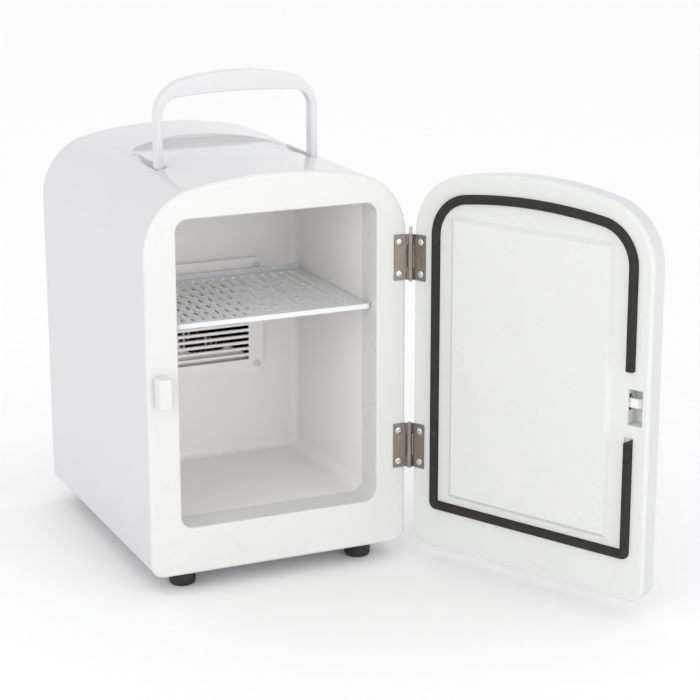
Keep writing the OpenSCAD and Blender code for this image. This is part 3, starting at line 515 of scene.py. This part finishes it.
def make_camera():
    """Looks down and to the right at the open fridge from its left front."""
    data = bpy.data.cameras.new("camera")
    data.lens = LENS_MM
    data.sensor_width = SENSOR_MM
    data.clip_start, data.clip_end = 0.05, 20
    camera = bpy.data.objects.new("camera", data)
    bpy.context.scene.collection.objects.link(camera)
    forward = Vector((math.sin(YAW) * math.cos(PITCH), math.cos(YAW) * math.cos(PITCH),
                      math.sin(PITCH)))
    level = Vector((math.cos(YAW), -math.sin(YAW), 0))
    right = math.cos(ROLL) * level + math.sin(ROLL) * level.cross(forward)
    turn = Matrix((right, right.cross(forward), -forward)).transposed()
    place = Vector((MID_X + CAMERA_X, FASCIA_Y + CAMERA_Y, CAMERA_Z + FRONT_LOW.z))
    camera.matrix_world = Matrix.Translation(place) @ turn.to_4x4()
    bpy.context.scene.camera = camera


def area_light(name, place, target, size, power):
    """A white soft box that faces a target."""
    data = bpy.data.lights.new(name, "AREA")
    data.shape = "RECTANGLE"
    data.size, data.size_y = size
    data.energy = power
    light = bpy.data.objects.new(name, data)
    bpy.context.scene.collection.objects.link(light)
    light.location = place
    light.rotation_mode = "QUATERNION"
    light.rotation_quaternion = (Vector(target) - Vector(place)).to_track_quat("-Z", "Y")


def make_studio():
    """Soft white light from all round, two wide soft boxes and the floor."""
    world = bpy.data.worlds.new("studio")
    bpy.context.scene.world = world
    world.use_nodes = True
    background = world.node_tree.nodes["Background"]
    background.inputs["Color"].default_value = (1, 1, 1, 1)
    background.inputs["Strength"].default_value = 1.0
    bpy.context.scene.view_settings.view_transform = "Standard"
    area_light("key", place=(-1.8, -1.4, 0.8), target=(0, 0, 0.12), size=(1.6, 1.2), power=9.5)
    area_light("fill", place=(0.7, -1.9, 0.4), target=(0, 0, 0.05), size=(1.4, 0.7), power=7)
    make_floor()


def make_floor():
    """Pale paper, faintly cloudy, that reaches past every view's edge."""
    half, first, second = 6, 0.95, 0.965
    corners = [(-half, -half, 0), (half, -half, 0), (half, half, 0), (-half, half, 0)]
    floor = new_mesh("floor", corners, [(0, 1, 2, 3)])
    material, tree, shader = node_material("floor_paper")
    cloud = noise(tree, object_coordinates(tree), 60)
    tree.links.new(tint(tree, cloud, (first,) * 3, (second,) * 3), shader.inputs["Base Color"])
    shader.inputs["Roughness"].default_value = 0.9
    floor.data.materials.append(material)


# ---- Cabinet ----

def rounded_edge(outline, y, radius, inward, steps):
    """Rings of a quarter-round edge. The outline is at depth y where the side ends, and the edge
    rolls in by the radius towards the face; inward is the sign of that depth change."""
    return [at_depth(outline(radius * (1 - math.cos(a))), y + inward * radius * math.sin(a))
            for a in quarter(steps)]


def make_fascia():
    """The front frame: rolled outer edge, flat face, rolled mouth edge and its collar."""
    edge, lip, collar_t = 2.6, 1.3, 1.8
    rings = rounded_edge(body_outline, edge, edge, inward=-1, steps=7)
    rings += [at_depth(mouth_outline(lip * (1 - math.sin(a))), lip * (1 - math.cos(a)))
              for a in quarter(5)]
    rings += [at_depth(mouth_outline(0), COLLAR_BACK),
              at_depth(mouth_outline(collar_t), COLLAR_BACK),
              at_depth(mouth_outline(collar_t), FASCIA_T), at_depth(body_outline(SEAM), FASCIA_T)]
    fascia = loft("fascia", rings, closed=True)
    boolean(fascia, box("spigot", (SPIGOT_X[0], -1, SPIGOT_Z[0]),
                        (SPIGOT_X[1], FASCIA_T + 1, SPIGOT_Z[1])))
    finish_piece(fascia, "cabinet", ["front_frame"], LOOK["fascia"], angle=30)


def recess_outline(grow):
    """Plan of the handle's recess: a wide U round the island."""
    w, back = RECESS_W / 2 + grow, RECESS_BACK + grow
    outer_r, corner = RECESS_R + grow, RECESS_CORNER + grow
    cx = w - corner
    cy = back - outer_r + math.sqrt((outer_r - corner) ** 2 - cx ** 2)
    lean = math.degrees(math.atan2(cy - back + outer_r, cx))
    front = RECESS_FRONT - grow
    points = [(w, front)]
    points += arc(cx, cy, corner, 0, lean, 14)
    points += arc(0, back - outer_r, outer_r, lean, 180 - lean, 40)[1:-1]
    points += arc(-cx, cy, corner, 180 - lean, 180, 14)
    points += [(-w, front)]
    inner_w, inner_r = ISLAND_W / 2 - grow, ISLAND_R - grow
    meet = math.degrees(math.acos(inner_w / inner_r))
    points += [(-inner_w, front)]
    points += arc(0, ISLAND_MID, inner_r, 180 - meet, meet, 48)
    points += [(inner_w, front)]
    return points


def leg_wells(grow):
    """Cutters for the two wells that the handle's legs turn in: deep round the pivot, then rising
    under the folded legs."""
    fold = math.radians(FOLD_RISE)
    front, top = WELL_FRONT - grow, CROWN_Z + 5
    floor = PIVOT_Z - WELL_DROP - grow
    ramp_y = PIVOT_Y + (WELL_DROP + grow) * math.tan(fold / 2)
    ramp_top = floor + (WELL_BACK - ramp_y) * math.tan(fold)
    side_view = [(front, top), (front, floor), (ramp_y, floor), (WELL_BACK, ramp_top),
                 (WELL_BACK, top)]
    wells = []
    for side in (-1, 1):
        ends = (side * (WELL_X[0] - grow), side * (WELL_X[1] + grow))
        wells.append(loft("well", [[(x, y, z) for y, z in side_view] for x in ends]))
    return wells


def recess_cutter():
    """The shallow recess, as (height above its floor, growth): its floor's edge is filleted, and
    its rims roll over near the crown."""
    wall = ((0, -1.2), (0.3, -0.5), (1.0, -0.06), (1.6, 0), (3.3, 0), (4.3, 0.25), (5.0, 0.8),
            (5.5, 1.7), (5.8, 2.9), (9, 5))
    rings = [at_height(recess_outline(grow), RECESS_FLOOR + rise) for rise, grow in wall]
    return loft("recess", rings)


def make_housing():
    """The outer wrap: a thick arched tube with the handle's recess sunk into its crown."""
    ease = 0.3
    ends = ((SEAM, FASCIA_T), (0, FASCIA_T + ease), (0, COVER_Y - ease), (SEAM, COVER_Y))
    housing = loft("housing", [at_depth(body_outline(inset), y) for inset, y in ends])
    inner = loft("inner", [at_depth(body_outline(WRAP_T), y) for y in (FASCIA_T - 1, COVER_Y + 1)])
    boolean(inner, prism("tray", recess_outline(TRAY_T), RECESS_FLOOR - TRAY_T, CROWN_Z + 20))
    for well in leg_wells(TRAY_T):
        boolean(inner, well)
    boolean(housing, inner)
    boolean(housing, recess_cutter())
    for well in leg_wells(0):
        boolean(housing, well)
    soften(housing, 0.6, segments=3)
    finish_piece(housing, "cabinet", ["housing_shell"], LOOK["housing"])


def make_liner():
    """The cavity's inner box with rolled back corners, a fan opening and two shelf ledges."""
    roll, wall, duct_z, duct_r = 5, 2, 150, 28
    rings = [at_depth(mouth_outline(wall), LINER_BACK + wall),
             at_depth(mouth_outline(wall), COLLAR_BACK), at_depth(mouth_outline(0), COLLAR_BACK),
             at_depth(mouth_outline(0), LINER_BACK - roll)]
    rings += [at_depth(mouth_outline(-roll * (1 - math.cos(a))),
                       LINER_BACK - roll + roll * math.sin(a)) for a in quarter(6)[1:]]
    liner = loft("liner_shell", rings)
    boolean(liner, rod("duct", (0, LINER_BACK - 10, duct_z), "y", duct_r, 20, steps=64))
    shelf_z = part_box("shelf")[0].z / MM
    for side in (-1, 1):
        low, high = sorted((side * (MOUTH_W / 2 - 4), side * (MOUTH_W / 2 + 1)))
        boolean(liner, box("ledge", (low, COLLAR_BACK + 6, shelf_z - 2.6),
                           (high, 130, shelf_z - 0.1)), "UNION")
    soften(liner, 0.5)
    finish_piece(liner, "cabinet", ["liner"], LOOK["liner"])


def make_catch():
    """The catch block on the fascia, with its notch for the bolt and its spigot."""
    catch = box("catch", CATCH_LOW, CATCH_HIGH)
    boolean(catch, box("notch", NOTCH_LOW, NOTCH_HIGH))
    soften(catch, 0.9, segments=3)
    stem = box("stem", (SPIGOT_X[0], -0.01, SPIGOT_Z[0]), (SPIGOT_X[1], FASCIA_T, SPIGOT_Z[1]))
    soften(stem, 0.3)
    block = join("door_catch_block", [catch, stem])
    finish_piece(block, "cabinet", ["door_catch"], LOOK["fascia"])


def make_feet():
    """Four turned rubber feet, each with a screw's bore and well and with rolled edges."""
    low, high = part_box("feet")
    tall = high.z / MM
    radius = (high.x - low.x) / MM / 2 - FOOT_X
    bore, well, seat = 1.5, 4, 6
    profile = [(bore, tall), (radius - 1.0, tall), (radius - 0.2, tall - 0.5),
               (radius - 0.1, tall - 1.3), (radius - 0.25, 2.8), (radius - 0.5, 1.6),
               (radius - 1.0, 0.7), (radius - 1.8, 0.15), (radius - 2.6, 0), (well + 0.6, 0),
               (well, 0.5), (well, seat), (bore, seat)]
    feet = [lathe("foot", (x, y, 0), profile, closed=True)
            for x in (-FOOT_X, FOOT_X) for y in FOOT_Y]
    finish_piece(join("rubber_feet", feet), "cabinet", ["feet"], LOOK["foot"])


def bail_line(half, crown, arc_r, corner):
    """One edge of the bail in front view, from the right leg's foot over the grip to the left's."""
    cx = half - corner
    arc_z = crown - arc_r
    cz = arc_z + math.sqrt((arc_r - corner) ** 2 - cx ** 2)
    lean = math.degrees(math.atan2(cz - arc_z, cx))
    right = [(half, PIVOT_Z - HANDLE_T / 2 * math.cos(a)) for a in quarter(8)[:-1]]
    right += [(half, PIVOT_Z + (cz - PIVOT_Z) * i / 6) for i in range(6)]
    right += arc(cx, cz, corner, 0, lean, 28) + arc(0, arc_z, arc_r, lean, 90, 30)[1:]
    return right + [(-x, z) for x, z in reversed(right[:-1])]


def bail_section(outer, inner):
    """The bar's section between two edge points: rolled corners, thinner round the leg's foot."""
    half_t, edge, spare = HANDLE_T / 2, 0.9, 0.05
    across = Vector((outer[0] - inner[0], 0, outer[1] - inner[1]))
    width, along = across.length, across.normalized()
    middle = Vector(((outer[0] + inner[0]) / 2, PIVOT_Y, (outer[1] + inner[1]) / 2))
    drop = max(0.0, PIVOT_Z - min(outer[1], inner[1]))
    deep = max(0.6, math.sqrt(max(0.0, half_t ** 2 - drop ** 2)))
    r = min(edge, width / 2 - spare, deep - spare)
    section = []
    for sx, sy, start in ((1, 1, 0), (-1, 1, 90), (-1, -1, 180), (1, -1, 270)):
        for u, v in arc(sx * (width / 2 - r), sy * (deep - r), r, start, start + 90, 5):
            section.append(tuple(middle + along * u + Vector((0, v, 0))))
    return section


def make_handle():
    """The carry handle: a flat bail, thick over the grip, with bores for its pins."""
    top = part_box("carry_handle")[1].z / MM
    reach = 70
    outer = bail_line(HANDLE_HALF, top, 170, 25)
    inner = bail_line(HANDLE_HALF - LEG_W, top - GRIP_T, 500, 12)
    handle = loft("bail_handle", [bail_section(*pair) for pair in zip(outer, inner)])
    boolean(handle, rod("bore", (-reach, PIVOT_Y, PIVOT_Z), "x", PIN_BORE_R, 2 * reach))
    finish_piece(handle, "handle", ["carry_handle"], LOOK["handle"], angle=50)


def shelf_slits(w, y0, y1, z0):
    """One cutter for the shelf's row of slits with round ends."""
    count, side, half_rib, front_rim, back_rim = 17, 7, 2, 11, 9
    pitch = (w - 2 * side) / count
    r = pitch / 2 - half_rib
    slits = []
    for i in range(count):
        middle = side - w / 2 + (i + 0.5) * pitch
        stadium = arc(middle, y1 - back_rim - r, r, 0, 180, 8)
        stadium += arc(middle, y0 + front_rim + r, r, 180, 360, 8)
        slits.append(prism("slit", stadium, z0 - 1, z0 + 3))
    return join("slits", slits)


def make_shelf():
    """The slotted shelf: slits with round ends between a front lip and a back upstand."""
    low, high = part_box("shelf")
    w = (high.x - low.x) / MM
    z0 = low.z / MM
    y0, y1 = (low.y - FASCIA_Y) / MM, (high.y - FASCIA_Y) / MM
    corner, plate_t, rim_w, sunk = 4, 1.8, 2, 0.5
    plan = arc(w / 2 - corner, y0 + corner, corner, -90, 0, 8) + [(w / 2, y1), (-w / 2, y1)]
    plan += arc(corner - w / 2, y0 + corner, corner, 180, 270, 8)
    shelf = prism("shelf_plate", plan, z0, z0 + plate_t)
    lip = arc(w / 2 - corner, y0 + corner, corner, -90, -10, 8)
    lip += arc(w / 2 - corner, y0 + corner, corner - rim_w, -10, -90, 8)
    rim = lip + [(-x, y) for x, y in reversed(lip)]
    boolean(shelf, prism("rim", rim, z0 + sunk, z0 + 3.3), "UNION")
    upstand = box("upstand", (-w / 2, y1 - 1.6, z0 + sunk), (w / 2, y1, z0 + 5))
    boolean(shelf, upstand, "UNION")
    boolean(shelf, shelf_slits(w, y0, y1, z0))
    soften(shelf, 0.35, merge=False)
    finish_piece(shelf, "shelf", ["shelf"], LOOK["shelf"])


# ---- Door ----

def make_door_shell():
    """The door's outer skin, with a large rolled front edge and a slot for the latch's stem."""
    back = -DOOR_GAP - PANEL_EDGE
    front = -DOOR_GAP - DOOR_T
    edge = 4.5
    rings = [at_depth(body_outline(SKIN_T), front + SKIN_T), at_depth(body_outline(SKIN_T), back),
             at_depth(body_outline(0.35), back), at_depth(body_outline(0), back - 0.4)]
    rings += rounded_edge(body_outline, front + edge, edge, inward=-1, steps=9)
    rings += [at_depth(body_outline(inset), front) for inset in (20, 40)]
    shell = loft("door_skin", rings)
    boolean(shell, box("stem_slot", (STEM_SLOT_X[0], front - 1, STEM_SLOT_Z[0]),
                       (STEM_SLOT_X[1], front + 4, STEM_SLOT_Z[1])))
    finish_piece(shell, "door", ["door_shell"], LOOK["housing"], TO_DOOR)


def gasket_outline(inset):
    return arch(GASKET_W, GASKET_LOW, GASKET_TOP, GASKET_ARC, GASKET_CORNER, GASKET_FOOT_R, inset,
                GASKET_MID)


def gasket_run(inset, low_end, high_end):
    """The gasket's line as an open path, down from the lower end, round the door and back to the
    upper end on the latch side."""
    ring = gasket_outline(inset)
    left = min(x for x, _ in ring)
    side = [i for i, (x, _) in enumerate(ring) if x - left < 1e-6]
    below = next(i for i in side if ring[i][1] < low_end)
    above = max(i for i in side if ring[i][1] > high_end)
    return [(left, low_end)] + ring[below:] + ring[:above + 1] + [(left, high_end)]


def make_gasket():
    """The black seal: a soft half-round strip with two lips, cut off beside the latch."""
    base, tip = -DOOR_GAP - 1, -0.7
    half = GASKET_BAND / 2
    near = [(0, base), (0.15, base + 1.3), (0.05, base + 2.1), (0.5, base + 3.3), (1.5, tip - 0.25)]
    far = [(GASKET_BAND - inset, y) for inset, y in reversed(near)]
    runs = []
    for inset, y in near + [(half, tip)] + far:
        low_end = GASKET_ENDS[0] + (GASKET_BAND - inset) * GASKET_SLANT
        runs.append([(x, y, z) for x, z in gasket_run(inset, low_end, GASKET_ENDS[1])])
    gasket = loft("door_seal", [list(section) for section in zip(*runs)])
    finish_piece(gasket, "door", ["door_gasket"], LOOK["gasket"], TO_DOOR,
                 angle=50)


def field_rings(face):
    """Rings of the panel's raised field, from the foot of its slope to its flat top."""
    middle_x = (FIELD_X[0] + FIELD_X[1]) / 2
    width = FIELD_X[1] - FIELD_X[0]
    slope = ((-0.25, 0), (0.1, 0.1), (FIELD_RUN - 0.3, FIELD_RISE - 0.2),
             (FIELD_RUN - 0.05, FIELD_RISE - 0.04), (FIELD_RUN + 0.3, FIELD_RISE))
    return [at_depth(arch(width, *FIELD_Z, FLAT_R, FIELD_R, FIELD_R, inset, middle_x), face + rise)
            for inset, rise in slope]


def gasket_groove(face):
    """Cutter for the gasket's groove, left open beside the latch."""
    inner = GASKET_BAND + GROOVE_PLAY
    section = ((-GROOVE_PLAY, face + 1), (-GROOVE_PLAY, face - 1), (inner, face - 1),
               (inner, face + 1))
    rings = [at_depth(gasket_outline(inset), y) for inset, y in section]
    groove = loft("groove", rings, closed=True)
    near, far = -95, -70
    boolean(groove, box("bridge", (near, face - 3, GROOVE_ENDS[0]),
                        (far, face + 3, GROOVE_ENDS[1])))
    return groove


def add_latch_pocket(panel, face):
    """Gives the panel a walled pocket for the catch, with a window for the bolt."""
    floor = face - SLOT_DEPTH
    boolean(panel, box("walls",
                       (SLOT_X[0] - SLOT_WALL, floor - SLOT_WALL, SLOT_Z[0] - SLOT_WALL),
                       (SLOT_X[1] + SLOT_WALL, face - 0.6, SLOT_Z[1] + SLOT_WALL)), "UNION")
    boolean(panel, box("pocket", (SLOT_X[0], floor, SLOT_Z[0]), (SLOT_X[1], face + 1, SLOT_Z[1])))
    boolean(panel, box("window", (SLOT_X[1] - 1, WINDOW_Y[0], WINDOW_Z[0]),
                       (WINDOW_END, WINDOW_Y[1], WINDOW_Z[1])))


def make_door_panel():
    """The door's inner skin: rolled edge, raised field, gasket groove and latch pocket."""
    face = -DOOR_GAP
    back = face - PANEL_EDGE
    edge = 1.1
    rings = [at_depth(body_outline(SKIN_T), face - SKIN_T), at_depth(body_outline(SKIN_T), back),
             at_depth(body_outline(0.3), back), at_depth(body_outline(0), back + 0.4)]
    rings += rounded_edge(body_outline, face - edge, edge, inward=1, steps=4)
    panel = loft("panel_skin", rings + field_rings(face))
    boolean(panel, gasket_groove(face))
    add_latch_pocket(panel, face)
    soften(panel, 0.3)
    finish_piece(panel, "door", ["door_inner_panel"], LOOK["panel"], TO_DOOR)


def phillips_screw(place, outward, turn):
    """A domed screw with a cross recess, its seat at a place and its head facing +Y or -Y."""
    shank_r, shank, slot_half, slot_w = 1.15, 3, 1.5, 0.3
    dome = [(shank_r, -shank), (shank_r, -0.01), (2.42, 0), (2.5, 0.12), (2.4, 0.36), (2.0, 0.6),
            (1.4, 0.74), (0.3, 0.8)]
    screw = lathe("screw", (0, 0, 0), dome)
    for angle in (turn, turn + 90):
        slot = box("slot", (-slot_half, -slot_w, 0.3), (slot_half, slot_w, 2))
        slot.data.transform(Matrix.Rotation(math.radians(angle), 4, "Z"))
        boolean(screw, slot)
    soften(screw, 0.07)
    screw.data.transform(Matrix.Translation(place)
                         @ Matrix.Rotation(math.radians(-90 * outward), 4, "X"))
    return screw


def make_hinge_screws():
    """Eight screws: four through the body's leaves and four through the door's."""
    for name, body, y, outward, matrix in (
            ("body_hinge_screws", "cabinet", -LEAF_T, -1, TO_BODY),
            ("door_hinge_screws", "door", LEAF_T - DOOR_GAP, 1, TO_DOOR)):
        screws = [phillips_screw((HINGE_SCREW_X, y, z), outward, 20 + 33 * i)
                  for i, z in enumerate(HINGE_SCREW_Z)]
        domed = join(name + "_domed", screws)
        finish_piece(domed, body, [name], LOOK["screw"], matrix)


def make_cad_pieces():
    """Small parts keep their CAD shape, with their edges rounded by a width in millimetres."""
    for node, width, look in (
            ("inner_grille", 0.3, "liner"), ("back_cover", 0.5, "housing"),
            ("latch_bolt", 0.35, "latch"), ("latch_button", 0.6, "housing"),
            ("ac_inlet", 0.25, "black"), ("dc_socket", 0.2, "black"),
            ("mode_switch_body", 0.3, "black"), ("mode_switch_rocker", 0.3, "switch"),
            ("upper_hinge_body_leaf", 0.12, "hinge"), ("lower_hinge_body_leaf", 0.12, "hinge"),
            ("upper_hinge_door_leaf", 0.12, "hinge"), ("lower_hinge_door_leaf", 0.12, "hinge"),
            ("upper_hinge_pin", 0.5, "pin"), ("lower_hinge_pin", 0.3, "pin"),
            ("back_cover_screws", 0.2, "screw"), ("foot_screws", 0.2, "screw"),
            ("grille_screws", 0.2, "screw"), ("rear_fan_frame", 0.4, "fan"),
            ("inner_fan_frame", 0.3, "fan"), ("rear_fan_rotor", 0.2, "fan"),
            ("inner_fan_rotor", 0.2, "fan"), ("status_lamps", 0.3, "lamp")):
        refine(node, node + "_rounded", width, LOOK[look])


def paint_cad_nodes():
    """Materials of the nodes that show as CAD made them, inside the casing."""
    for node, look in (
            ("insulation_foam", "foam"), ("cold_sink", "aluminium"), ("spacer_block", "aluminium"),
            ("peltier_module", "ceramic"), ("hot_sink", "aluminium"), ("heatsink_screws", "screw"),
            ("rear_fan_screws", "screw"), ("power_board", "board"),
            ("power_transformer", "winding"), ("power_capacitors", "parts"),
            ("board_screws", "screw"), ("handle_pins", "screw"), ("door_foam", "foam"),
            ("latch_spring", "screw"), ("latch_retainer", "latch"),
            ("latch_retainer_screws", "screw")):
        obj = frame["nodes"][node]
        obj.data.materials.clear()
        obj.data.materials.append(LOOK[look])


make_camera()
make_studio()
make_fascia()
make_housing()
make_liner()
make_catch()
make_feet()
make_handle()
make_shelf()
make_door_shell()
make_door_panel()
make_gasket()
make_hinge_screws()
make_cad_pieces()
paint_cad_nodes()

bpy.context.view_layer.update()
